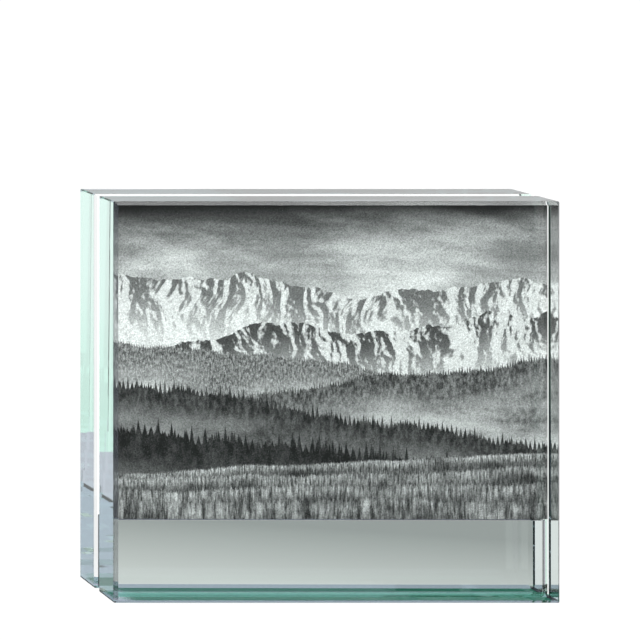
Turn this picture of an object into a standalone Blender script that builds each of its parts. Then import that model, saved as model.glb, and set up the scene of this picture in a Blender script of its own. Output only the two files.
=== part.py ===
"""Clear glass block picture frame, standing free on a table.

Two thick polished glass blocks stand on edge, one behind the other. A glass strip
is bonded between their feet with a clear adhesive film on each side, and keeps a
narrow slot open above it. A print stands on the strip, in the slot, and is pulled
out upwards.

Metres, +Z up. The origin is on the table under the middle of the frame. +X runs
along the frame's width, and +Y from its front to its back.
"""

import bmesh
import bpy

COLLECTION = "glass_block_frame"

# Glass blocks
BLOCK_WIDTH = 0.180
BLOCK_HEIGHT = 0.162
BLOCK_THICKNESS = 0.015
FACE_CHAMFER = 0.0014  # polished bevel round the front and the back face of a block
EDGE_ARRIS = 0.0005  # small bevel on the four edges that run from front to back

# Slot and the strip that is its floor
SLOT_WIDTH = 0.002
SLOT_FLOOR = 0.031  # from the table to the strip's top
STRIP_INSET = 0.001  # from the blocks' ends and feet to the strip
STRIP_ARRIS = 0.0002
ADHESIVE_THICKNESS = 0.0001

# Print
PRINT_THICKNESS = 0.00025
PRINT_SIDE_MARGIN = 0.0002
PRINT_TOP_MARGIN = 0.0007
PRINT_CLEARANCE = 0.0003  # to the glass in front of it and to the slot's floor

# Optics
GLASS_IOR = 1.52
ADHESIVE_IOR = 1.50

# Planes square to Y, from front to back, which the pieces share
FRONT_FACE = -SLOT_WIDTH / 2 - BLOCK_THICKNESS
SLOT_FRONT = -SLOT_WIDTH / 2
STRIP_FRONT = SLOT_FRONT + ADHESIVE_THICKNESS
STRIP_BACK = SLOT_WIDTH / 2 - ADHESIVE_THICKNESS
SLOT_BACK = SLOT_WIDTH / 2
BACK_FACE = SLOT_WIDTH / 2 + BLOCK_THICKNESS


def clear_scene():
    for old in list(bpy.data.objects):
        bpy.data.objects.remove(old, do_unlink=True)


def new_collection(name):
    collection = bpy.data.collections.new(name)
    bpy.context.scene.collection.children.link(collection)
    return collection


def new_material(name, colour, roughness, transmission=0.0, ior=1.5):
    """A Principled material; colour is linear red, green and blue."""
    material = bpy.data.materials.new(name)
    material.use_nodes = True
    shader = material.node_tree.nodes["Principled BSDF"]
    shader.inputs["Base Color"].default_value = (*colour, 1.0)
    shader.inputs["Roughness"].default_value = roughness
    shader.inputs["Metallic"].default_value = 0.0
    shader.inputs["Transmission Weight"].default_value = transmission
    shader.inputs["IOR"].default_value = ior
    return material


def clear_glass(name):
    """Float glass, whose iron gives it a faint green tint."""
    return new_material(name, (0.84, 0.95, 0.91), 0.01, transmission=1.0, ior=GLASS_IOR)


def cured_adhesive(name):
    return new_material(name, (0.96, 0.98, 0.98), 0.03, transmission=1.0, ior=ADHESIVE_IOR)


def print_paper(name):
    return new_material(name, (0.30, 0.31, 0.31), 0.35)


def box(name, low, high, material, collection, origin=(0.0, 0.0, 0.0)):
    """A box from its lowest corner to its highest, with its object's origin where asked."""
    shape = bmesh.new()
    bmesh.ops.create_cube(shape, size=2.0)
    for vertex in shape.verts:
        ends = [high[i] if vertex.co[i] > 0 else low[i] for i in range(3)]
        vertex.co = [ends[i] - origin[i] for i in range(3)]
    mesh = bpy.data.meshes.new(name)
    shape.to_mesh(mesh)
    shape.free()
    mesh.materials.append(material)
    obj = bpy.data.objects.new(name, mesh)
    obj.location = origin
    collection.objects.link(obj)
    return obj


def runs_front_to_back(mesh, edge):
    first, second = (mesh.vertices[index].co for index in edge.vertices)
    return abs(first.y - second.y) > max(abs(first.x - second.x), abs(first.z - second.z))


def bevel_edges(obj, around_faces, front_to_back):
    """Flat bevels: one width round the front and back faces, another on the edges between them."""
    widest = max(around_faces, front_to_back)
    weights = obj.data.attributes.new("bevel_weight_edge", "FLOAT", "EDGE")
    for edge in obj.data.edges:
        width = front_to_back if runs_front_to_back(obj.data, edge) else around_faces
        weights.data[edge.index].value = width / widest
    bevel = obj.modifiers.new("polished_bevels", "BEVEL")
    bevel.limit_method = "WEIGHT"
    bevel.offset_type = "OFFSET"
    bevel.width = widest
    bevel.segments = 1
    bevel.use_clamp_overlap = False


def glass_block(name, front, back, collection):
    low = (-BLOCK_WIDTH / 2, front, 0.0)
    high = (BLOCK_WIDTH / 2, back, BLOCK_HEIGHT)
    block = box(name, low, high, clear_glass(name), collection)
    bevel_edges(block, FACE_CHAMFER, EDGE_ARRIS)
    return block


def spacer_strip(name, collection):
    """The strip that sets the slot's width and carries the print."""
    end = BLOCK_WIDTH / 2 - STRIP_INSET
    low = (-end, STRIP_FRONT, STRIP_INSET)
    high = (end, STRIP_BACK, SLOT_FLOOR)
    strip = box(name, low, high, clear_glass(name), collection)
    bevel_edges(strip, STRIP_ARRIS, STRIP_ARRIS)
    return strip


def adhesive_film(name, front, back, collection):
    """A film that fills the flat zone where a block and the strip face each other."""
    inset = max(FACE_CHAMFER, STRIP_INSET + STRIP_ARRIS)
    end = BLOCK_WIDTH / 2 - inset
    low = (-end, front, inset)
    high = (end, back, SLOT_FLOOR - STRIP_ARRIS)
    return box(name, low, high, cured_adhesive(name), collection)


def photo_print(name, collection):
    """The print, whose origin is at the middle of its foot, on the line that it slides along."""
    end = BLOCK_WIDTH / 2 - PRINT_SIDE_MARGIN
    front = SLOT_FRONT + PRINT_CLEARANCE
    foot = SLOT_FLOOR + PRINT_CLEARANCE
    low = (-end, front, foot)
    high = (end, front + PRINT_THICKNESS, BLOCK_HEIGHT - PRINT_TOP_MARGIN)
    return box(name, low, high, print_paper(name), collection, origin=(0.0, front, foot))


def main():
    clear_scene()
    parts = new_collection(COLLECTION)
    stand = bpy.data.objects.new("bonded_frame", None)
    parts.objects.link(stand)
    bonded = [
        glass_block("front_glass_block", FRONT_FACE, SLOT_FRONT, parts),
        adhesive_film("front_adhesive_film", SLOT_FRONT, STRIP_FRONT, parts),
        spacer_strip("spacer_strip", parts),
        adhesive_film("rear_adhesive_film", STRIP_BACK, SLOT_BACK, parts),
        glass_block("rear_glass_block", SLOT_BACK, BACK_FACE, parts),
    ]
    sheet = photo_print("photo_print", parts)
    for piece in [*bonded, sheet]:
        piece.parent = stand


main()
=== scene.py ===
"""Looks of a clear glass block picture frame: polished blocks, bonded foot, print and studio.

Metres, +Z up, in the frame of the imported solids. +X runs along the frame's width, and
+Y from its front to its back.
"""

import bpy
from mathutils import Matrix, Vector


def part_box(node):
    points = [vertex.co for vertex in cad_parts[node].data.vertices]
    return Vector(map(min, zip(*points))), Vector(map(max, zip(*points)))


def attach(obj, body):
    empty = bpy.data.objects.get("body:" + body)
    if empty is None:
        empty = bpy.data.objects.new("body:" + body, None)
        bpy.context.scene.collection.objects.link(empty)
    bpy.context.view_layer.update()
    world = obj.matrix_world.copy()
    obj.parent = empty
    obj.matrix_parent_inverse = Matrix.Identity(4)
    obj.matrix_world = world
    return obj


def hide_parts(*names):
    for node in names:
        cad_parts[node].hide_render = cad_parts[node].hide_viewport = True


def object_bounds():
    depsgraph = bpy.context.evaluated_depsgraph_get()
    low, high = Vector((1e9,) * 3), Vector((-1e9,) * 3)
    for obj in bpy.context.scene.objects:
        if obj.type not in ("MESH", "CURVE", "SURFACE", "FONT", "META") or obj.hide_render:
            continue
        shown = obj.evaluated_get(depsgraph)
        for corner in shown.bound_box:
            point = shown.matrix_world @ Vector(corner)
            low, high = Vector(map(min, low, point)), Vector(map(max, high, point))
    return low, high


bl_info = {
    "name": "Glass Block Picture Frame",
    "version": (1, 0, 0),
    "blender": (4, 5, 0),
    "location": "View3D > Sidebar > Glass Frame",
    "description": "Builds a bonded glass block picture frame with a print in its slot",
    "category": "Add Mesh",
}

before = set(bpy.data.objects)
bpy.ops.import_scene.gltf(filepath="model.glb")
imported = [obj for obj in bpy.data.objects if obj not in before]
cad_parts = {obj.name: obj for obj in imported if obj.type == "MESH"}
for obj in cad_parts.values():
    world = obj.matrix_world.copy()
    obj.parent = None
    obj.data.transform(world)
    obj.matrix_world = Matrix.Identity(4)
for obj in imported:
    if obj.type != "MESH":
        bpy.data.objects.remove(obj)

import math
from collections import namedtuple

import bmesh
import bpy
from bpy.props import FloatProperty, FloatVectorProperty, IntProperty, PointerProperty
from mathutils import Matrix, Vector

CAD_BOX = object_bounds()
FRONT_LOW, FRONT_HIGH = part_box("front_glass_block")
REAR_LOW, REAR_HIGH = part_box("rear_glass_block")
STRIP_LOW, STRIP_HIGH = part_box("spacer_strip")
FILM_LOW, FILM_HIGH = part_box("front_adhesive_film")
REAR_FILM_LOW, REAR_FILM_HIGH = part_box("rear_adhesive_film")
PRINT_LOW, PRINT_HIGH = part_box("photo_print")
PRINT_HEIGHT = PRINT_HIGH.z - PRINT_LOW.z

WHITE = (1.0, 1.0, 1.0)

# A ridge or a bank of grass in the print's picture. base and rise are shares of the print's height,
# wave is the length of its humps, slope is its rise along x, tone and mist are greys, and tree is
# the height of its tallest trees or blades.
Hill = namedtuple("Hill", "draw base rise wave slope seed tone mist tree", defaults=(0.0, 0.0))


def length(name, description, default):
    return FloatProperty(
        name=name, description=description, default=default, unit="LENGTH", precision=5
    )


def wattage(name, description, default):
    return FloatProperty(name=name, description=description, default=default, unit="POWER")


def share(name, description, default):
    return FloatProperty(name=name, description=description, default=default, min=0.0, max=1.0)


def colour(name, description, default):
    return FloatVectorProperty(
        name=name, description=description, default=default, subtype="COLOR", min=0.0, max=1.0
    )


def place(name, description, default):
    return FloatVectorProperty(
        name=name, description=description, default=default, subtype="TRANSLATION", unit="LENGTH"
    )


class GlassSettings(bpy.types.PropertyGroup):
    """Sizes and colours of the glass blocks, the strip between their feet and the adhesive."""

    face_bevel: length("Face bevel", "Polished bevel round a block's front and back face", 0.0014)
    edge_arris: length("Edge arris", "Small bevel on the edges that run from front to back", 0.0005)
    strip_arris: length("Strip arris", "Small bevel on every edge of the strip", 0.0002)
    edge_softness: length("Edge softness", "Rounding that polishing leaves on each edge", 0.00006)
    film_clearance: length("Film clearance", "Air left between a film's surface and the glass", 0.00001)
    ior: FloatProperty(name="Index of refraction", description="Of float glass", default=1.52)
    tint: colour("Tint", "Colour that thick glass turns white light to", (0.21, 0.90, 0.70))
    tint_density: FloatProperty(
        name="Tint density", description="How soon the glass takes on its tint, per metre", default=1.5
    )
    lamp_tint: colour(
        "Lamp light", "What one glass surface lets through of a lamp's light", (0.94, 0.96, 0.955)
    )
    face_roughness: share("Face roughness", "Of the clean float faces", 0.0)
    smudge_roughness: share("Smudge roughness", "Of the faint wiped smudges on the faces", 0.02)
    bevel_roughness: share("Bevel roughness", "Of the ground and polished bevels", 0.02)
    foot_roughness: share("Foot roughness", "Of the feet, which are ground and left matt", 0.05)
    foot_tint: colour("Foot tint", "What the inner bevels at the feet let through", (0.5, 1.0, 0.78))
    # Painted shade: dark green matt colours on the feet's bevels and undersides stand in for the shade seen
    # along the foot
    foot_bevel_shade: colour("Foot bevel shade", "Colour of the ground bevels at the feet", (0.06, 0.22, 0.16))
    foot_bevel_shade_share: share("Foot bevel shade share", "How much light those bevels scatter", 0.28)
    underside_shade: colour("Underside shade", "Colour of the ground undersides", (0.03, 0.14, 0.10))
    underside_shade_share: share("Underside shade share", "How much light the undersides scatter", 0.8)
    # A plain dark colour on the rim at the feet's ends and on the strip's raw ends
    dark_rim_width: length("Dark rim", "Width of the dark ground rim at the feet's ends", 0.0009)
    rim_colour: colour("Rim colour", "Colour of that rim", (0.03, 0.035, 0.04))
    rim_darkness: share("Rim darkness", "How much light that rim scatters", 0.85)
    # Painted shade: a dark matt layer darkens the upright outer bevels and their arrises at the frame's ends
    upright_bevel_shade: colour(
        "Bevel haze", "Colour of the haze on the upright outer bevels", (0.05, 0.055, 0.065)
    )
    upright_bevel_shade_share: share("Upright bevel shade share", "How much light those bevels scatter", 0.45)
    end_arris_shade_share: share("End arris shade share", "How much light they scatter along the frame's ends", 0.6)
    adhesive_ior: FloatProperty(name="Adhesive index", description="Of the cured adhesive", default=1.5)
    adhesive_roughness: share("Adhesive roughness", "Of the adhesive's rim", 0.05)


class PrintSettings(bpy.types.PropertyGroup):
    """The sheet in the slot and the picture on it."""

    curl: length("Curl", "How far the sheet's upper corners lean back", 0.0002)
    columns: IntProperty(name="Columns", description="Faces across the sheet", default=72, min=2)
    rows: IntProperty(name="Rows", description="Faces up the sheet", default=52, min=2)
    grain: length("Grain", "Size of the picture's grain", 0.0006)
    # Painted shade: the picture darkens towards its top edge
    top_shade_depth: length("Top shade", "How far down the picture's top edge is darkened", 0.0125)
    bare_margin: length("Bare margin", "White sliver that trimming left at the left edge", 0.001)
    paper: colour("Paper", "Colour of the bare paper", (0.86, 0.86, 0.84))
    satin: share("Roughness", "Roughness of the satin surface", 0.35)
    gloss: share("Gloss", "How strongly the satin surface mirrors", 0.15)


class StageSettings(bpy.types.PropertyGroup):
    """Floor, light and camera."""

    eye: place("Eye", "Where the camera stands", (-0.5056, -0.8993, 0.3182))
    picture_centre: place(
        "Picture centre",
        "Point of the front face's plane in the middle of the picture",
        (-0.00737, -0.016, 0.11443),
    )
    picture_width: length("Picture width", "Width of the picture in the front face's plane", 0.25776)
    floor_drop: length("Floor drop", "Air between the glass and the floor", 0.0001)
    floor_size: length("Floor size", "Side of the square floor", 12.0)
    floor_colour: colour("Floor", "Colour of the floor", (0.86, 0.86, 0.86))
    shadow_share: share("Shadow share", "How strongly the white floor shows the frame's shadow", 0.15)
    key_power: wattage("Key power", "Of the large lamp on the left", 26.0)
    fill_power: wattage("Fill power", "Of the lamp on the right", 3.0)
    top_power: wattage("Top power", "Of the lamp overhead", 3.2)
    sky_level: share("Sky level", "Brightness of the even light all round", 0.55)
    # Painted shadow: a shadow round the frame's foot, given as plain colours that only the glass shows,
    # darker in rays turned often
    shadow_reach: length("Mat reach", "From the middle to the sides of the mat that the glass shows", 0.18)
    shadow_depth: length("Mat depth", "From the middle to the mat's front and back edge", 0.118)
    core_shadow_reach: length("Mat middle reach", "Half the width of the part that every ray shows", 0.14)
    core_shadow_depth: length("Mat middle depth", "From the middle to that part's front and back", 0.075)
    joint_shade: share("Joint shade", "Brightness of the floor in rays that graze the joint's rim", 0.4)
    shadow_colour: colour("Painted shadow", "Its colour in rays that the glass turned often", (0.62, 0.56, 0.675))
    pale_shadow_colour: colour("Lit mat", "Its colour in rays that the glass turned less", (0.74, 0.78, 0.77))
    shade_near: colour("Near shade", "Shaded floor right behind the frame", (0.64, 0.68, 0.66))
    shade_far: colour("Far shade", "Shaded floor further back", (0.35, 0.38, 0.37))
    # Painted shade: the floor shown in the glass is darker and greener near the frame
    near_floor_shade: colour("Near floor shade", "Colour of the floor beside the mat", (0.76, 0.93, 0.86))
    far_colour: colour("Far floor", "Colour of the floor further off", (1.0, 1.0, 1.0))
    wall_colour: colour("Walls", "Colour of the studio's walls in the glass", (0.475, 0.49, 0.615))
    backdrop: share("Backdrop", "Brightness of the backdrop that the glass mirrors", 1.0)
    dark: share("Dark", "Brightness of the studio's dark sides", 0.005)


class Value:
    """A node's output. Sums on it are written as Python expressions and add Math nodes."""

    def __init__(self, graph, node, identifier=None):
        self.graph = graph
        self.node = node
        outputs = {output.identifier: output for output in node.outputs}
        self.socket = outputs[identifier] if identifier else node.outputs[0]

    def out(self, identifier):
        return Value(self.graph, self.node, identifier)

    def __add__(self, other):
        return self.graph.maths("ADD", self, other)

    def __radd__(self, other):
        return self.graph.maths("ADD", other, self)

    def __sub__(self, other):
        return self.graph.maths("SUBTRACT", self, other)

    def __rsub__(self, other):
        return self.graph.maths("SUBTRACT", other, self)

    def __mul__(self, other):
        return self.graph.maths("MULTIPLY", self, other)

    def __rmul__(self, other):
        return self.graph.maths("MULTIPLY", other, self)

    def __truediv__(self, other):
        return self.graph.maths("DIVIDE", self, other)

    def __rtruediv__(self, other):
        return self.graph.maths("DIVIDE", other, self)

    def __abs__(self):
        return self.graph.maths("ABSOLUTE", self)

    def __lt__(self, other):
        return self.graph.maths("LESS_THAN", self, other)

    def __gt__(self, other):
        return self.graph.maths("GREATER_THAN", self, other)


class Graph:
    """Adds nodes to a shader or geometry tree."""

    def __init__(self, tree):
        self.tree = tree

    def node(self, kind, settings=None, sockets=None):
        """A new node's first output. Settings come before the values or links of its sockets."""
        made = self.tree.nodes.new(kind)
        for name, value in (settings or {}).items():
            setattr(made, name, value)
        by_identifier = {socket.identifier: socket for socket in made.inputs}
        for identifier, value in (sockets or {}).items():
            self.feed(by_identifier[identifier], value)
        return Value(self, made) if made.outputs else made

    def feed(self, socket, value):
        if isinstance(value, Value):
            self.tree.links.new(value.socket, socket)
        elif isinstance(value, (list, tuple)) and isinstance(value[0], Value):
            for one in value:
                self.tree.links.new(one.socket, socket)
        elif socket.type == "RGBA":
            socket.default_value = (*value[:3], 1.0)
        else:
            socket.default_value = value

    def maths(self, operation, *values):
        identifiers = ("Value", "Value_001", "Value_002")
        return self.node("ShaderNodeMath", {"operation": operation}, dict(zip(identifiers, values)))

    def larger(self, first, *others):
        for other in others:
            first = self.maths("MAXIMUM", first, other)
        return first

    def smaller(self, first, second):
        return self.maths("MINIMUM", first, second)

    def smooth(self, value, low, high):
        """Rises from 0 at low to 1 at high, with soft ends."""
        return self.node(
            "ShaderNodeMapRange",
            {"interpolation_type": "SMOOTHSTEP"},
            {"Value": value, "From Min": low, "From Max": high},
        )

    def spot(self):
        """The shaded point, in the piece's own coordinates."""
        return self.node("ShaderNodeTexCoord").out("Object")

    def vector(self, x, y, z):
        return self.node("ShaderNodeCombineXYZ", sockets={"X": x, "Y": y, "Z": z})

    def split(self, vector):
        parts = self.node("ShaderNodeSeparateXYZ", sockets={"Vector": vector})
        return parts.out("X"), parts.out("Y"), parts.out("Z")

    def noise(self, vector, scale, detail=2.0, roughness=0.5):
        sockets = {"Vector": vector, "Scale": scale, "Detail": detail, "Roughness": roughness}
        return self.node("ShaderNodeTexNoise", sockets=sockets)

    def blend(self, factor, first, second):
        """One number for another, as the factor goes from 0 to 1."""
        sockets = {"Factor_Float": factor, "A_Float": first, "B_Float": second}
        return self.node("ShaderNodeMix", {"data_type": "FLOAT"}, sockets)

    def blend_colour(self, factor, first, second):
        sockets = {"Factor_Float": factor, "A_Color": first, "B_Color": second}
        return self.node("ShaderNodeMix", {"data_type": "RGBA"}, sockets).out("Result_Color")

    def mix_shaders(self, factor, first, second):
        sockets = {"Fac": factor, "Shader": first, "Shader_001": second}
        return self.node("ShaderNodeMixShader", sockets=sockets)

    def unbent(self, tint=WHITE):
        """A surface that light goes straight through, tinted on its way."""
        return self.node("ShaderNodeBsdfTransparent", sockets={"Color": tint})

    def bump(self, height, distance):
        return self.node("ShaderNodeBump", sockets={"Height": height, "Distance": distance})

    def inputs(self, **kinds):
        """Named inputs of a geometry tree, with spaces in their names for the keywords' underscores."""
        names = [key.replace("_", " ").capitalize() for key in kinds]
        made = [
            self.tree.interface.new_socket(name=name, in_out="INPUT", socket_type=kind)
            for name, kind in zip(names, kinds.values())
        ]
        group = self.node("NodeGroupInput")
        return [group.out(socket.identifier) for socket in made]

    def output(self, geometry):
        self.tree.interface.new_socket(name="Geometry", in_out="OUTPUT", socket_type="NodeSocketGeometry")
        made = self.tree.nodes.new("NodeGroupOutput")
        self.tree.links.new(geometry.socket, made.inputs[0])


def grey(level):
    return (level, level, level)


def new_material(name):
    """An empty material and the graph that fills it."""
    material = bpy.data.materials.new(name)
    material.use_nodes = True
    material.node_tree.nodes.clear()
    return material, Graph(material.node_tree)


def finish_material(graph, surface, volume=None):
    sockets = {"Surface": surface}
    if volume is not None:
        sockets["Volume"] = volume
    graph.node("ShaderNodeOutputMaterial", sockets=sockets)


def mesh_object(name, shape, *materials):
    """A finished shape with its materials, as an object at the origin."""
    mesh = bpy.data.meshes.new(name)
    shape.to_mesh(mesh)
    shape.free()
    for material in materials:
        mesh.materials.append(material)
    obj = bpy.data.objects.new(name, mesh)
    bpy.context.scene.collection.objects.link(obj)
    return obj


def at_most(count, limit):
    """1 where a whole count, such as how often glass has turned a ray, is this limit or less."""
    return count < limit + 0.5


def at_least(count, limit):
    """1 where a whole count is this limit or more."""
    return count > limit - 0.5


def lamp_rays(graph):
    """1 for the rays that carry lamp light and bounced light, which go through the glass unbent."""
    rays = graph.node("ShaderNodeLightPath")
    return graph.larger(rays.out("Is Shadow Ray"), rays.out("Is Diffuse Ray"))


def bonded_zone(x, y, z, plane):
    """1 where the glass at this distance from the middle plane is wetted by adhesive."""
    tolerance = 0.00003
    on_plane = abs(abs(y) - plane) < tolerance
    inside_width = abs(x) < FILM_HIGH.x
    inside_height = (z > FILM_LOW.z) * (z < FILM_HIGH.z)
    return on_plane * inside_width * inside_height


def bevel_zone(graph, x, y, z, bevel):
    """1 on the bevels round both blocks' faces, where it comes to grinding marks."""
    reach = bevel * 0.98  # it ends just inside the bevel's own edge
    from_end = FRONT_HIGH.x - abs(x)
    from_rim = graph.smaller(from_end, graph.smaller(z - FRONT_LOW.z, FRONT_HIGH.z - z))
    middle = (FRONT_LOW.y + FRONT_HIGH.y) / 2
    half = (FRONT_HIGH.y - FRONT_LOW.y) / 2
    from_face = half - abs(abs(y) + middle)
    return (from_rim < reach) * (from_face < reach)


def smudged(graph, spot, settings):
    """Roughness of the float faces, with the faint smudges that wiping leaves."""
    smudge_size = 0.03
    faintest, fullest = 0.52, 0.75
    smudges = graph.smooth(graph.noise(spot, 1 / smudge_size, detail=4.0), faintest, fullest)
    return settings.face_roughness + smudges * settings.smudge_roughness


def painted_foot_shade(graph, x, foot, foot_bevel, turns, settings):
    """How much painted shade, as a dark green matt layer, the undersides and the bevels at the feet show.

    They show only in rays that the glass has turned a few times at most, because rays that it has
    turned more often would bring them up as stray bands. Near the left end only the bevels show,
    and only straight from the camera.
    """
    none_up_to, full_from = FRONT_LOW.x * 0.96, FRONT_LOW.x * 0.86
    from_left = graph.smooth(x, none_up_to, full_from)
    bevel = foot_bevel * graph.larger(at_most(turns, 0), at_most(turns, 2) * from_left)
    underside = foot * from_left * at_most(turns, 1)
    return graph.larger(bevel * settings.foot_bevel_shade_share, underside * settings.underside_shade_share)


def upright_bevels(x, y, z, turns, settings):
    """1 on the outer bevels at the frame's ends, straight from the camera, which get painted shade."""
    at_end = abs(x) > FRONT_HIGH.x - settings.face_bevel
    at_face = abs(y) > REAR_HIGH.y - settings.face_bevel
    above_foot = z > FRONT_LOW.z + settings.face_bevel
    return at_end * at_face * above_foot * at_most(turns, 0)


def dark_rims(graph, x, y, z, turns, settings):
    """1 on the rim at the feet's ends and, straight from the camera, on the strip's raw ends."""
    across, off_middle = abs(x), abs(y)
    foot_rim = (z < FRONT_LOW.z + settings.dark_rim_width) * (across > FRONT_HIGH.x - settings.dark_rim_width)
    raw_end = (across > STRIP_HIGH.x - settings.strip_arris / 2) * at_most(turns, 0)
    on_strip_end = across < STRIP_HIGH.x + settings.edge_softness
    on_strip_side = off_middle < STRIP_HIGH.y + settings.edge_softness
    return graph.larger(foot_rim, raw_end * on_strip_end * on_strip_side)


def shaded_glass_layer(graph, x, y, z, foot, foot_bevel, settings):
    """Painted shade as a dark matt surface on the feet and the upright outer bevels, plain dark rims, and how
    much of it shows in the polished glass.
    """
    turns = graph.node("ShaderNodeLightPath").out("Ray Depth")
    shaded_bevels = upright_bevels(x, y, z, turns, settings)
    dark_rim_zones = dark_rims(graph, x, y, z, turns, settings)
    arris_width = 0.0006
    along_end = graph.smooth(abs(x), FRONT_HIGH.x - arris_width, FRONT_HIGH.x)
    painted_shade = graph.blend(along_end, settings.upright_bevel_shade_share, settings.end_arris_shade_share)
    feet = painted_foot_shade(graph, x, foot, foot_bevel, turns, settings)
    shown = graph.larger(feet, shaded_bevels * painted_shade, dark_rim_zones * settings.rim_darkness)
    # Painted shade: the dark colours of the feet and the upright outer bevels, and the plain dark rims
    tone = graph.blend_colour(foot, settings.foot_bevel_shade, settings.underside_shade)
    tone = graph.blend_colour(shaded_bevels, tone, settings.upright_bevel_shade)
    tone = graph.blend_colour(dark_rim_zones, tone, settings.rim_colour)
    matt = graph.node(
        "ShaderNodeBsdfPrincipled",
        sockets={"Base Color": tone, "Roughness": 1.0, "Specular IOR Level": 0.0},
    )
    return shown, matt


def clear_glass(name, settings, plane):
    """Polished float glass, open to the adhesive where it is bonded.

    plane is how far its bonded faces lie from the middle plane between the blocks.
    """
    material, graph = new_material(name)
    spot = graph.spot()
    x, y, z = graph.split(spot)
    bevels = bevel_zone(graph, x, y, z, settings.face_bevel)
    foot = z < FRONT_LOW.z + settings.edge_softness
    foot_bevel = bevels * (z < FRONT_LOW.z + settings.face_bevel)
    inner_bevel = foot_bevel * (abs(y) < REAR_LOW.y + settings.face_bevel)
    roughness = graph.blend(bevels, smudged(graph, spot, settings), settings.bevel_roughness)
    wave_size, wave_height = 0.011, 0.000001
    waves = graph.noise(spot, 1 / wave_size, detail=1.0)
    polished = graph.node(
        "ShaderNodeBsdfPrincipled",
        sockets={
            "Base Color": graph.blend_colour(inner_bevel, WHITE, settings.foot_tint),
            "Roughness": graph.blend(foot, roughness, settings.foot_roughness),
            "IOR": settings.ior,
            "Transmission Weight": 1.0,
            "Normal": graph.bump(waves, wave_height),
        },
    )
    shown, matt = shaded_glass_layer(graph, x, y, z, foot, foot_bevel, settings)
    surface = graph.mix_shaders(shown, polished, matt)
    surface = graph.mix_shaders(bonded_zone(x, y, z, plane), surface, graph.unbent())
    surface = graph.mix_shaders(lamp_rays(graph), surface, graph.unbent(settings.lamp_tint))
    tint = graph.node(
        "ShaderNodeVolumeAbsorption", sockets={"Color": settings.tint, "Density": settings.tint_density}
    )
    finish_material(graph, surface, tint)
    return material


def cured_adhesive(name, settings):
    """Adhesive that can't be seen where it wets the glass, and that shows at its rim."""
    material, graph = new_material(name)
    x, _, z = graph.split(graph.spot())
    rim_width = 0.00002
    end_rim = abs(x) > FILM_HIGH.x - rim_width
    top_rim = z > FILM_HIGH.z - rim_width
    foot_rim = z < FILM_LOW.z + rim_width
    glassy = graph.node(
        "ShaderNodeBsdfPrincipled",
        sockets={
            "Base Color": WHITE,
            "Roughness": settings.adhesive_roughness,
            "IOR": settings.adhesive_ior,
            "Transmission Weight": 1.0,
        },
    )
    shown = graph.larger(end_rim, top_rim, foot_rim) * (1 - lamp_rays(graph))
    finish_material(graph, graph.mix_shaders(shown, graph.unbent(), glassy))
    return material


def paper(name, settings):
    """White photo paper, seen from behind and along its cut rim."""
    material, graph = new_material(name)
    fibre_size, fibre_height = 0.0006, 0.00001
    smoothest, roughest = 0.45, 0.6
    fibres = graph.noise(graph.spot(), 1 / fibre_size, detail=3.0)
    sheet = graph.node(
        "ShaderNodeBsdfPrincipled",
        sockets={
            "Base Color": settings.paper,
            "Roughness": graph.blend(fibres, smoothest, roughest),
            "Normal": graph.bump(fibres, fibre_height),
        },
    )
    finish_material(graph, sheet)
    return material


def hilltop(graph, x, hill):
    """Height of a hill's outline at x."""
    base = PRINT_LOW.z + hill.base * PRINT_HEIGHT
    rise = 2 * hill.rise * PRINT_HEIGHT
    outline = graph.noise(graph.vector(x, 0.0, hill.seed), 1 / hill.wave, detail=6.0, roughness=0.55)
    return base + x * hill.slope + (outline - 0.5) * rise


def slopes(graph, x, z, size, seed):
    """Light and shade of steep slopes lit from the right, from the rise of a noise along x."""
    sway, drawn_down, skew = 0.9, 0.5, 0.3
    warp = (graph.noise(graph.vector(x, seed, z), 0.6 / size, detail=3.0) - 0.5) * (size * sway)
    run = x + warp
    fall = z * drawn_down + warp * skew
    step = size * 0.03
    rock = {"detail": 6.0, "roughness": 0.58}
    here = graph.noise(graph.vector(run, seed, fall), 1 / size, **rock)
    beside = graph.noise(graph.vector(run + step, seed, fall + step * skew), 1 / size, **rock)
    return here - beside


def conifers(graph, x, z, ground, spacing, tallest, seed):
    """1 inside a row of pointed, ragged trees that stand on an outline."""
    shortest, branches, blur = 0.35, 9.0, 0.12
    cell = x / spacing + seed
    number = {"W": graph.maths("FLOOR", cell)}
    luck = graph.node("ShaderNodeTexWhiteNoise", {"noise_dimensions": "1D"}, number)
    from_trunk = abs(graph.maths("FRACT", cell) - 0.5) * 2.0
    up = (z - ground) / (tallest * (luck * (1 - shortest) + shortest))
    ragged = abs(graph.maths("FRACT", up * branches) - 0.5) * 0.5 * (1.1 - up)
    return graph.smooth((1.05 - up) * 0.9 - ragged - from_trunk, 0.0, blur)


def cloudy_sky(graph, x, z, up):
    """Layers of cloud that darken towards the picture's top, above a glow at the mountains."""
    tilt, darkest, darkening = 0.05, 0.12, 0.45
    level = z + x * tilt
    clouds = graph.noise(graph.vector(x * 0.30, 1.0, level), 48.0, detail=8.0, roughness=0.6)
    wisps = graph.noise(graph.vector(x * 0.1, 3.0, level), 150.0, detail=5.0, roughness=0.6)
    banks = graph.smooth(clouds, 0.42, 0.68) * 0.34
    streaks = (wisps - 0.5) * 0.35
    glow = graph.smooth(up, 0.98, 0.66) * 0.22
    tone = darkest + banks + streaks + glow
    return tone * (1 - graph.smooth(up, 0.78, 1.0) * darkening)


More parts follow.
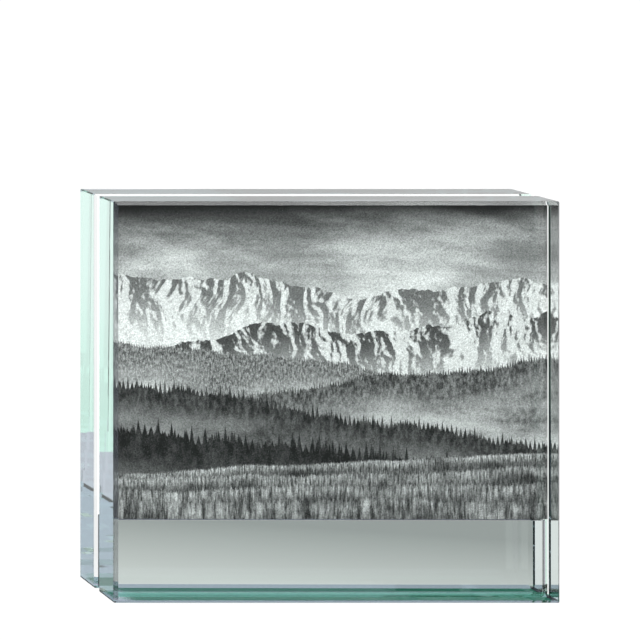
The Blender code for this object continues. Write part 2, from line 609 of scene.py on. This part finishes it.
def mountain(graph, x, z, hill):
    """The outline's inside, and the tones of snow on rock that fade into mist."""
    crag, snow_tone, blur = 0.040, 0.66, 0.00008
    mist_from, mist_full, thickest = 0.002, 0.034, 0.9
    shade_up_to, light_from = -0.008, 0.012
    depth = hilltop(graph, x, hill) - z
    lit = graph.smooth(slopes(graph, x, z, crag, hill.seed), shade_up_to, light_from)
    patchy = graph.vector(x, hill.seed + 9.0, z * 0.8)
    patches = graph.noise(patchy, 160.0, detail=5.0, roughness=0.65)
    snow = graph.smaller(lit * (0.55 + patches * 0.7), 1.0)
    mist = graph.smooth(depth, mist_from, mist_full) * thickest
    body = graph.blend(mist, graph.blend(snow, hill.tone, snow_tone), hill.mist)
    return graph.smooth(depth, -blur, blur), body


def forest(graph, x, z, hill):
    """The outline's inside with its trees, and the tones of a wood that stands in mist."""
    blur, mist_full = 0.0001, 0.020
    ground = hilltop(graph, x, hill)
    inside = graph.smooth(ground - z, -blur, blur)
    for shift, shrink in ((0.0, 1.0), (0.37, 0.72), (0.71, 0.5)):
        spacing = hill.tree / 3.3 * (0.6 + shrink * 0.4)
        trees = conifers(graph, x, z, ground, spacing, hill.tree * shrink, hill.seed + shift)
        inside = graph.larger(inside, trees)
    tall = graph.vector(x, hill.seed, z * 0.45)
    leaf = graph.noise(tall, 3.0 / hill.tree, detail=5.0, roughness=0.7)
    body = hill.tone * (0.25 + graph.smooth(leaf, 0.35, 0.75) * 2.6)
    swirl = graph.noise(graph.vector(x * 0.35, hill.seed, z), 75.0, detail=5.0, roughness=0.6)
    mist = graph.smooth(ground - z, 0.0, mist_full) * graph.smooth(swirl, 0.30, 0.68)
    return inside, graph.blend(mist, body, hill.mist)


def grass(graph, x, z, hill):
    """The outline's inside with its blades, and the tones of tall grass, lit along its tips."""
    blur = 0.0001
    spacing, lit_depth = hill.tree * 0.2, hill.tree * 2.6
    ground = hilltop(graph, x, hill)
    depth = ground - z
    inside = graph.smooth(depth, -blur, blur)
    for shift in (0.0, 0.43):
        blades = conifers(graph, x, z, ground, spacing, hill.tree, hill.seed + shift)
        inside = graph.larger(inside, blades)
    tall = graph.vector(x, hill.seed, z * 0.14)
    streaks = graph.noise(tall, 2.4 / hill.tree, detail=4.0, roughness=0.75)
    patches = graph.noise(graph.vector(x, hill.seed, z * 2.0), 55.0, detail=3.0)
    light = 0.15 + graph.smooth(streaks, 0.34, 0.72) * 2.2
    body = hill.tone * light * graph.smooth(patches, 0.15, 0.65)
    return inside, body * (1.15 - graph.smooth(depth, 0.0, lit_depth) * 0.75)


# From the furthest to the nearest
HILLS = (
    Hill(mountain, base=0.73, rise=0.22, wave=0.085, slope=-0.05, seed=1.3, tone=0.13, mist=0.74),
    Hill(mountain, base=0.59, rise=0.18, wave=0.06, slope=0.09, seed=2.7, tone=0.06, mist=0.7),
    Hill(forest, base=0.48, rise=0.07, wave=0.07, slope=-0.1, seed=3.1, tone=0.15, mist=0.6, tree=0.0024),
    Hill(forest, base=0.41, rise=0.08, wave=0.06, slope=0.12, seed=4.6, tone=0.08, mist=0.45, tree=0.0036),
    Hill(forest, base=0.32, rise=0.05, wave=0.055, slope=-0.15, seed=5.2, tone=0.035, mist=0.28, tree=0.0062),
    Hill(forest, base=0.2, rise=0.06, wave=0.045, slope=-0.1, seed=7.4, tone=0.018, mist=0.12, tree=0.009),
    Hill(grass, base=0.17, rise=0.03, wave=0.05, slope=0.05, seed=6.0, tone=0.27, tree=0.0013),
    Hill(grass, base=0.135, rise=0.03, wave=0.04, slope=0.03, seed=6.7, tone=0.24, tree=0.002),
    Hill(grass, base=0.095, rise=0.03, wave=0.035, slope=0.02, seed=8.1, tone=0.21, tree=0.003),
    Hill(grass, base=0.045, rise=0.03, wave=0.035, slope=0.0, seed=9.4, tone=0.19, tree=0.0042),
)


def landscape(graph, x, z):
    """Greys of a generic black-and-white view: peaks, misty ridges of conifers and a meadow."""
    tone = cloudy_sky(graph, x, z, (z - PRINT_LOW.z) / PRINT_HEIGHT)
    for hill in HILLS:
        inside, body = hill.draw(graph, x, z, hill)
        tone = graph.blend(inside, tone, body)
    return tone


def developed(graph, x, z, settings):
    """The landscape with the grain of fast film and painted shade along its top edge, from black to paper
    white.
    """
    exposure, grain_in_light, grain_in_all = 0.99, 2.2, 0.08
    top_shade_tone, top_shade_line, blackest = 0.03, 0.001, 0.008
    askew = graph.vector(x * 0.8 + z * 0.6, x * 0.3 - z * 0.4, z * 0.8 - x * 0.5)
    grain = graph.noise(askew, 1 / settings.grain, detail=2.0, roughness=0.9) - 0.5
    tone = landscape(graph, x, z) * (exposure + grain * grain_in_light) + grain * grain_in_all
    # Painted shade: the picture darkens towards its top edge
    below_edge = graph.smooth(PRINT_HIGH.z - z, top_shade_line, settings.top_shade_depth)
    tone = tone * (top_shade_tone + below_edge * (1 - top_shade_tone))
    return graph.smaller(graph.larger(tone, blackest), settings.paper[0])


def picture(name, settings):
    """The printed face: the landscape under a satin coat, with a white sliver at its left edge."""
    material, graph = new_material(name)
    spot = graph.spot()
    x, _, z = graph.split(spot)
    tone = developed(graph, x, z, settings)
    trimmed = x < PRINT_LOW.x + settings.bare_margin
    pearl_size, pearl_height, pearl_roughness = 0.0009, 0.000005, 0.04
    pearl = graph.noise(spot, 1 / pearl_size, detail=2.0)
    smoothest, roughest = settings.satin - pearl_roughness, settings.satin + pearl_roughness
    surface = graph.node(
        "ShaderNodeBsdfPrincipled",
        sockets={
            "Base Color": graph.blend_colour(trimmed, graph.vector(tone, tone, tone), settings.paper),
            "Specular IOR Level": settings.gloss,
            "Roughness": graph.blend(pearl, smoothest, roughest),
            "Normal": graph.bump(pearl, pearl_height),
        },
    )
    finish_material(graph, surface)
    return material


def bevelled_block_tree():
    """Geometry nodes: a block with one bevel round its front and back, and another between them.

    The block is the skin round four boxes, each drawn in from the full size along two or three axes.
    """
    tree = bpy.data.node_groups.new("bevelled_block", "GeometryNodeTree")
    graph = Graph(tree)
    size, centre, bevel, arris, glass = graph.inputs(
        size="NodeSocketVector",
        centre="NodeSocketVector",
        face_bevel="NodeSocketFloat",
        edge_arris="NodeSocketFloat",
        glass="NodeSocketMaterial",
    )
    half_arris = arris * 0.5
    insets = (
        (0.0, bevel, arris),
        (arris, bevel, 0.0),
        (bevel, 0.0, bevel),
        (half_arris, bevel - half_arris, half_arris),
    )
    boxes = []
    for inset in insets:
        drawn_in = graph.node(
            "ShaderNodeVectorMath",
            {"operation": "MULTIPLY_ADD"},
            {"Vector": graph.vector(*inset), "Vector_001": (-2.0, -2.0, -2.0), "Vector_002": size},
        )
        boxes.append(graph.node("GeometryNodeMeshCube", sockets={"Size": drawn_in}))
    joined = graph.node("GeometryNodeJoinGeometry", sockets={"Geometry": boxes})
    skin = graph.node("GeometryNodeConvexHull", sockets={"Geometry": joined})
    placed = graph.node("GeometryNodeTransform", sockets={"Geometry": skin, "Translation": centre})
    real = graph.node("GeometryNodeRealizeInstances", sockets={"Geometry": placed})
    graph.output(graph.node("GeometryNodeSetMaterial", sockets={"Geometry": real, "Material": glass}))
    return tree


def grow(name, tree, values, softness):
    """A piece made by a geometry tree and softened along its edges, as a plain mesh at the origin."""
    obj = bpy.data.objects.new(name, bpy.data.meshes.new(name))
    bpy.context.scene.collection.objects.link(obj)
    nodes = obj.modifiers.new("shape", "NODES")
    nodes.node_group = tree
    for item in tree.interface.items_tree:
        if item.in_out == "INPUT":
            nodes[item.identifier] = values[item.name]
    soften = obj.modifiers.new("softness", "BEVEL")
    soften.width = softness
    soften.segments = 2
    soften.limit_method = "ANGLE"
    soften.angle_limit = math.radians(20)
    bpy.context.view_layer.update()
    evaluated = obj.evaluated_get(bpy.context.evaluated_depsgraph_get())
    mesh = bpy.data.meshes.new_from_object(evaluated)
    obj.modifiers.clear()
    obj.data = mesh
    mesh.name = name
    return obj


def glass_piece(name, low, high, bevel, arris, material, node):
    """A bevelled piece of glass in the bonded frame, in place of its plain node."""
    settings = bpy.context.scene.frame_glass
    tree = bpy.data.node_groups.get("bevelled_block") or bevelled_block_tree()
    values = {
        "Size": high - low,
        "Centre": (low + high) / 2,
        "Face bevel": bevel,
        "Edge arris": arris,
        "Glass": material,
    }
    piece = grow(name, tree, values, settings.edge_softness)
    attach(piece, "frame")
    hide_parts(node)


class GLASSFRAME_OT_blocks(bpy.types.Operator):
    """Build the two polished glass blocks"""

    bl_idname = "glassframe.blocks"
    bl_label = "Glass Blocks"

    def execute(self, context):
        settings = context.scene.frame_glass
        material = clear_glass("block_glass", settings, REAR_LOW.y)
        for name, low, high, node in (
            ("front_block", FRONT_LOW, FRONT_HIGH, "front_glass_block"),
            ("rear_block", REAR_LOW, REAR_HIGH, "rear_glass_block"),
        ):
            glass_piece(name, low, high, settings.face_bevel, settings.edge_arris, material, node)
        return {"FINISHED"}


class GLASSFRAME_OT_strip(bpy.types.Operator):
    """Build the strip between the blocks' feet and the adhesive on both sides of it"""

    bl_idname = "glassframe.strip"
    bl_label = "Strip and Adhesive"

    def execute(self, context):
        settings = context.scene.frame_glass
        material = clear_glass("strip_glass", settings, STRIP_HIGH.y)
        arris = settings.strip_arris
        glass_piece("strip", STRIP_LOW, STRIP_HIGH, arris, arris, material, "spacer_strip")
        film = cured_adhesive("adhesive", settings)
        for name, low, high, node in (
            ("front_film", FILM_LOW, FILM_HIGH, "front_adhesive_film"),
            ("rear_film", REAR_FILM_LOW, REAR_FILM_HIGH, "rear_adhesive_film"),
        ):
            piece = adhesive_film(name, low, high, settings.film_clearance, film)
            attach(piece, "frame")
            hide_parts(node)
        return {"FINISHED"}


def adhesive_film(name, low, high, clearance, material):
    """A thin box that keeps a little clear of the glass before and behind it."""
    shape = bmesh.new()
    bmesh.ops.create_cube(shape, size=2.0)
    gap = Vector((0.0, clearance, 0.0))
    near, far = low + gap, high - gap
    for vertex in shape.verts:
        vertex.co = [far[i] if vertex.co[i] > 0 else near[i] for i in range(3)]
    return mesh_object(name, shape, material)


class GLASSFRAME_OT_print(bpy.types.Operator):
    """Build the print that stands in the slot"""

    bl_idname = "glassframe.print"
    bl_label = "Print"

    def execute(self, context):
        settings = context.scene.frame_print
        sheet = print_sheet("print_sheet", settings)
        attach(sheet, "print")
        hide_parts("photo_print")
        return {"FINISHED"}


def print_sheet(name, settings):
    """A thin sheet with the picture on its front, whose upper corners lean back a little."""
    shape = bmesh.new()
    bmesh.ops.create_grid(shape, x_segments=settings.columns, y_segments=settings.rows, size=1.0)
    for vertex in shape.verts:
        across, up = vertex.co.x, (vertex.co.y + 1) / 2
        lean = settings.curl * across * across * up * up
        x = PRINT_HIGH.x * across
        z = PRINT_LOW.z + PRINT_HEIGHT * up
        vertex.co = (x, PRINT_LOW.y + lean, z)
    front = set(shape.faces)
    back = bmesh.ops.extrude_face_region(shape, geom=shape.faces[:], use_keep_orig=True)
    moved = [item for item in back["geom"] if isinstance(item, bmesh.types.BMVert)]
    bmesh.ops.translate(shape, verts=moved, vec=(0.0, PRINT_HIGH.y - PRINT_LOW.y, 0.0))
    for face in shape.faces:
        face.material_index = 0 if face in front else 1
    bmesh.ops.recalc_face_normals(shape, faces=shape.faces)
    return mesh_object(name, shape, picture("printed_picture", settings), paper("bare_paper", settings))


class GLASSFRAME_OT_stage(bpy.types.Operator):
    """Set up the floor, the light and the camera"""

    bl_idname = "glassframe.stage"
    bl_label = "Stage"

    def execute(self, context):
        settings = context.scene.frame_stage
        studio_floor("studio_floor", settings)
        studio_lamps(settings)
        studio_world(settings)
        stand_camera(settings)
        context.scene.view_settings.view_transform = "Standard"
        bounces = 48
        cycles = context.scene.cycles
        cycles.max_bounces = bounces
        cycles.transmission_bounces = bounces
        cycles.glossy_bounces = bounces
        cycles.transparent_max_bounces = bounces
        cycles.caustics_reflective = False
        cycles.caustics_refractive = False
        return {"FINISHED"}


def studio_floor(name, settings):
    """A pale floor, white to the camera, that the glass shows as a studio's."""
    shape = bmesh.new()
    bmesh.ops.create_grid(shape, x_segments=1, y_segments=1, size=settings.floor_size / 2)
    bmesh.ops.translate(shape, verts=shape.verts, vec=(0.0, 0.0, -settings.floor_drop))
    return mesh_object(name, shape, floor_material(name, settings))


def floor_material(name, settings):
    """White with a faint shadow to the camera, a studio's floor in the glass, and else plain."""
    material, graph = new_material(name)
    rays = graph.node("ShaderNodeLightPath")
    x, y, _ = graph.split(graph.spot())
    from_middle = graph.maths("SQRT", x * x + y * y)
    through = rays.out("Is Transmission Ray")
    mirrored = rays.out("Is Glossy Ray") * (1 - through)
    ground = floor_in_glass(graph, rays, x, y, from_middle, settings)
    dark = dark_floor(graph, rays, x, y, mirrored, settings)
    ground = graph.blend_colour(dark, ground, grey(settings.dark))
    in_glass = graph.node("ShaderNodeEmission", sockets={"Color": ground})
    plain = graph.node("ShaderNodeBsdfDiffuse", sockets={"Color": settings.floor_colour})
    full_white, shadow_from, shadow_to = 1.05, 0.2, 0.6
    white = graph.node("ShaderNodeEmission", sockets={"Color": WHITE, "Strength": full_white})
    nearby = settings.shadow_share * (1 - graph.smooth(from_middle, shadow_from, shadow_to))
    seen = graph.mix_shaders(nearby, white, plain)
    surface = graph.mix_shaders(graph.larger(through, mirrored), plain, in_glass)
    finish_material(graph, graph.mix_shaders(rays.out("Is Camera Ray"), surface, seen))
    return material


def floor_in_glass(graph, rays, x, y, from_middle, settings):
    """The floor as the glass shows it: a painted shadow round the frame, and painted shade behind the bonded
    joint.

    Light Path tells where a ray has been. Ray Depth counts the turns that glass gave it, and
    Transparent Depth the wetted surfaces that it went through, which are four at each film. A ray
    that goes through both blocks above the joint sees the plain floor, so that the empty slot looks
    clear.
    """
    turns, crossings = rays.out("Ray Depth"), rays.out("Transparent Depth")
    straight = at_most(turns, 2)
    often_turned = at_least(turns, 5)
    bonded = at_least(crossings, 1)
    one_film = at_most(crossings, 6)
    # Painted shade: the floor in the glass is darker and greener near the frame, paling to white further off
    near, far = 0.1, 0.6
    off = graph.larger(graph.smooth(from_middle, near, far), straight)
    ground = graph.blend_colour(off, settings.near_floor_shade, settings.far_colour)
    # Painted shadow round the foot: a middle part for every ray and a wider part for rays turned nine times
    # at most
    middle = (abs(x) < settings.core_shadow_reach) * (abs(y) < settings.core_shadow_depth)
    whole_shadow = (abs(x) < settings.shadow_reach) * (abs(y) < settings.shadow_depth) * at_most(turns, 9)
    in_painted_shadow = graph.larger(middle, whole_shadow) * (1 - straight) * graph.larger(often_turned, bonded)
    painted_shadow = graph.blend_colour(often_turned, settings.pale_shadow_colour, settings.shadow_colour)
    ground = graph.blend_colour(in_painted_shadow, ground, painted_shadow)
    backwards, rightwards = 1.18, 2.6  # how fast the painted shade deepens, to the painted shadow's edge and per metre
    back = (abs(y) - REAR_HIGH.y) / (settings.shadow_depth - REAR_HIGH.y) * backwards
    shade = graph.blend_colour(back + x * rightwards, settings.shade_near, settings.shade_far)
    ground = graph.blend_colour(straight * bonded, ground, shade)
    grazed = bonded * one_film * at_most(turns, 6)
    return graph.blend_colour(grazed, ground, grey(settings.joint_shade))


def dark_floor(graph, rays, x, y, mirrored, settings):
    """1 where the glass shows the floor dark.

    That is under the blocks, which only light from their narrow tops would reach, to the left of
    them in rays turned often, and before them in rays thrown back to where the camera stands.
    """
    turns = rays.out("Ray Depth")
    under = (abs(x) < FRONT_HIGH.x) * (abs(y) < REAR_HIGH.y)
    on_left = (x < FRONT_LOW.x) * (y < settings.core_shadow_depth)
    on_left = on_left * rays.out("Is Transmission Ray") * at_least(turns, 5)
    thrown_back = graph.larger(mirrored, at_least(turns, 3) * at_most(turns, 3)) * (y < 0.0)
    return graph.larger(under, on_left, thrown_back)


def area_lamp(name, where, size, power, mirrored=False):
    """A soft lamp that shines on the frame, unseen by the camera, and by the glass unless asked."""
    lamp = bpy.data.lights.new(name, "AREA")
    lamp.shape = "SQUARE"
    lamp.size = size
    lamp.energy = power
    obj = bpy.data.objects.new(name, lamp)
    obj.location = where
    aim = (CAD_BOX[0] + CAD_BOX[1]) / 2
    obj.rotation_euler = (aim - Vector(where)).to_track_quat("-Z", "Y").to_euler()
    obj.visible_camera = False
    obj.visible_glossy = mirrored
    obj.visible_transmission = False
    bpy.context.scene.collection.objects.link(obj)


def studio_lamps(settings):
    area_lamp("key_lamp", where=(-0.65, -1.25, 0.9), size=0.8, power=settings.key_power)
    area_lamp("fill_lamp", where=(1.4, -0.8, 0.9), size=1.0, power=settings.fill_power)
    area_lamp("top_lamp", where=(0.47, -0.21, 1.1), size=0.55, power=settings.top_power, mirrored=True)


def studio_world(settings):
    """White to the camera, even light to the print and the floor, and a studio's walls in the glass.

    x, y and z are the direction that the ray goes in. Towards the horizon the walls turn white, as
    the floor is. They are dark on the left in rays that the glass turned often, unless these climb
    steeply to the back. They are dark in front in rays that it turned three times, which go back to
    where the camera stands.
    """
    horizon_from, horizon_to = 0.04, 0.14
    left_from, low_up_to, front_from = -0.15, 0.6, -0.3
    world = bpy.data.worlds.new("studio")
    bpy.context.scene.world = world
    world.use_nodes = True
    world.node_tree.nodes.clear()
    graph = Graph(world.node_tree)
    rays = graph.node("ShaderNodeLightPath")
    x, y, z = graph.split(graph.node("ShaderNodeTexCoord").out("Generated"))
    through = rays.out("Is Transmission Ray")
    mirrored = rays.out("Is Glossy Ray") * (1 - through)
    turns = rays.out("Ray Depth")
    dark_side = (x < left_from) * graph.larger(z < low_up_to, y < 0.0) * at_least(turns, 5)
    thrown_back = (y < front_from) * at_least(turns, 3) * at_most(turns, 3)
    walls_from = graph.smooth(z, horizon_from, horizon_to)
    room = graph.blend_colour(walls_from, settings.far_colour, settings.wall_colour)
    room = graph.blend_colour(graph.larger(dark_side, thrown_back), room, grey(settings.dark))
    backdrop = graph.blend_colour(y > 0.0, grey(settings.dark), grey(settings.backdrop))
    light = graph.blend_colour(through, grey(settings.sky_level), room)
    light = graph.blend_colour(mirrored, light, backdrop)
    light = graph.blend_colour(rays.out("Is Camera Ray"), light, WHITE)
    sky = graph.node("ShaderNodeBackground", sockets={"Color": light})
    graph.node("ShaderNodeOutputWorld", sockets={"Surface": sky})


def stand_camera(settings):
    """A camera whose picture plane is parallel to the front face, though it stands far to the left.

    Such a view keeps the front face a true rectangle. The camera's parent carries the slant as a
    sheared matrix, and the lens needs no shift.
    """
    eye = Vector(settings.eye)
    centre = Vector(settings.picture_centre)
    reach = (centre - eye).length
    look = (centre - eye) / reach
    data = bpy.data.cameras.new("view_camera")
    data.sensor_width = 36.0
    data.lens = data.sensor_width * reach / settings.picture_width
    data.clip_start = 0.01
    camera = bpy.data.objects.new("view_camera", data)
    holder = bpy.data.objects.new("camera_holder", None)
    for obj in (holder, camera):
        bpy.context.scene.collection.objects.link(obj)
    slant = Matrix.Identity(4)
    slant.col[0][:3] = (1.0, 0.0, 0.0)
    slant.col[1][:3] = (0.0, 0.0, 1.0)
    slant.col[2][:3] = -look
    slant.col[3][:3] = eye
    camera.parent = holder
    camera.matrix_parent_inverse = slant
    bpy.context.scene.camera = camera


class GLASSFRAME_PT_panel(bpy.types.Panel):
    """Lists the operators and their settings"""

    bl_idname = "GLASSFRAME_PT_panel"
    bl_label = "Glass Block Frame"
    bl_space_type = "VIEW_3D"
    bl_region_type = "UI"
    bl_category = "Glass Frame"

    def draw(self, context):
        for group, _ in SETTINGS:
            settings = getattr(context.scene, group)
            box = self.layout.box()
            for name in settings.bl_rna.properties.keys():
                if name not in {"rna_type", "name"}:
                    box.prop(settings, name)
        for operator in OPERATORS:
            self.layout.operator(operator.bl_idname)


SETTINGS = (
    ("frame_glass", GlassSettings),
    ("frame_print", PrintSettings),
    ("frame_stage", StageSettings),
)
OPERATORS = (GLASSFRAME_OT_blocks, GLASSFRAME_OT_strip, GLASSFRAME_OT_print, GLASSFRAME_OT_stage)


def register():
    for name, group in SETTINGS:
        bpy.utils.register_class(group)
        setattr(bpy.types.Scene, name, PointerProperty(type=group))
    for operator in OPERATORS:
        bpy.utils.register_class(operator)
    bpy.utils.register_class(GLASSFRAME_PT_panel)


def unregister():
    bpy.utils.unregister_class(GLASSFRAME_PT_panel)
    for operator in reversed(OPERATORS):
        bpy.utils.unregister_class(operator)
    for name, group in reversed(SETTINGS):
        delattr(bpy.types.Scene, name)
        bpy.utils.unregister_class(group)


def main():
    register()
    bpy.ops.glassframe.blocks()
    bpy.ops.glassframe.strip()
    bpy.ops.glassframe.print()
    bpy.ops.glassframe.stage()


if __name__ == "__main__":
    main()
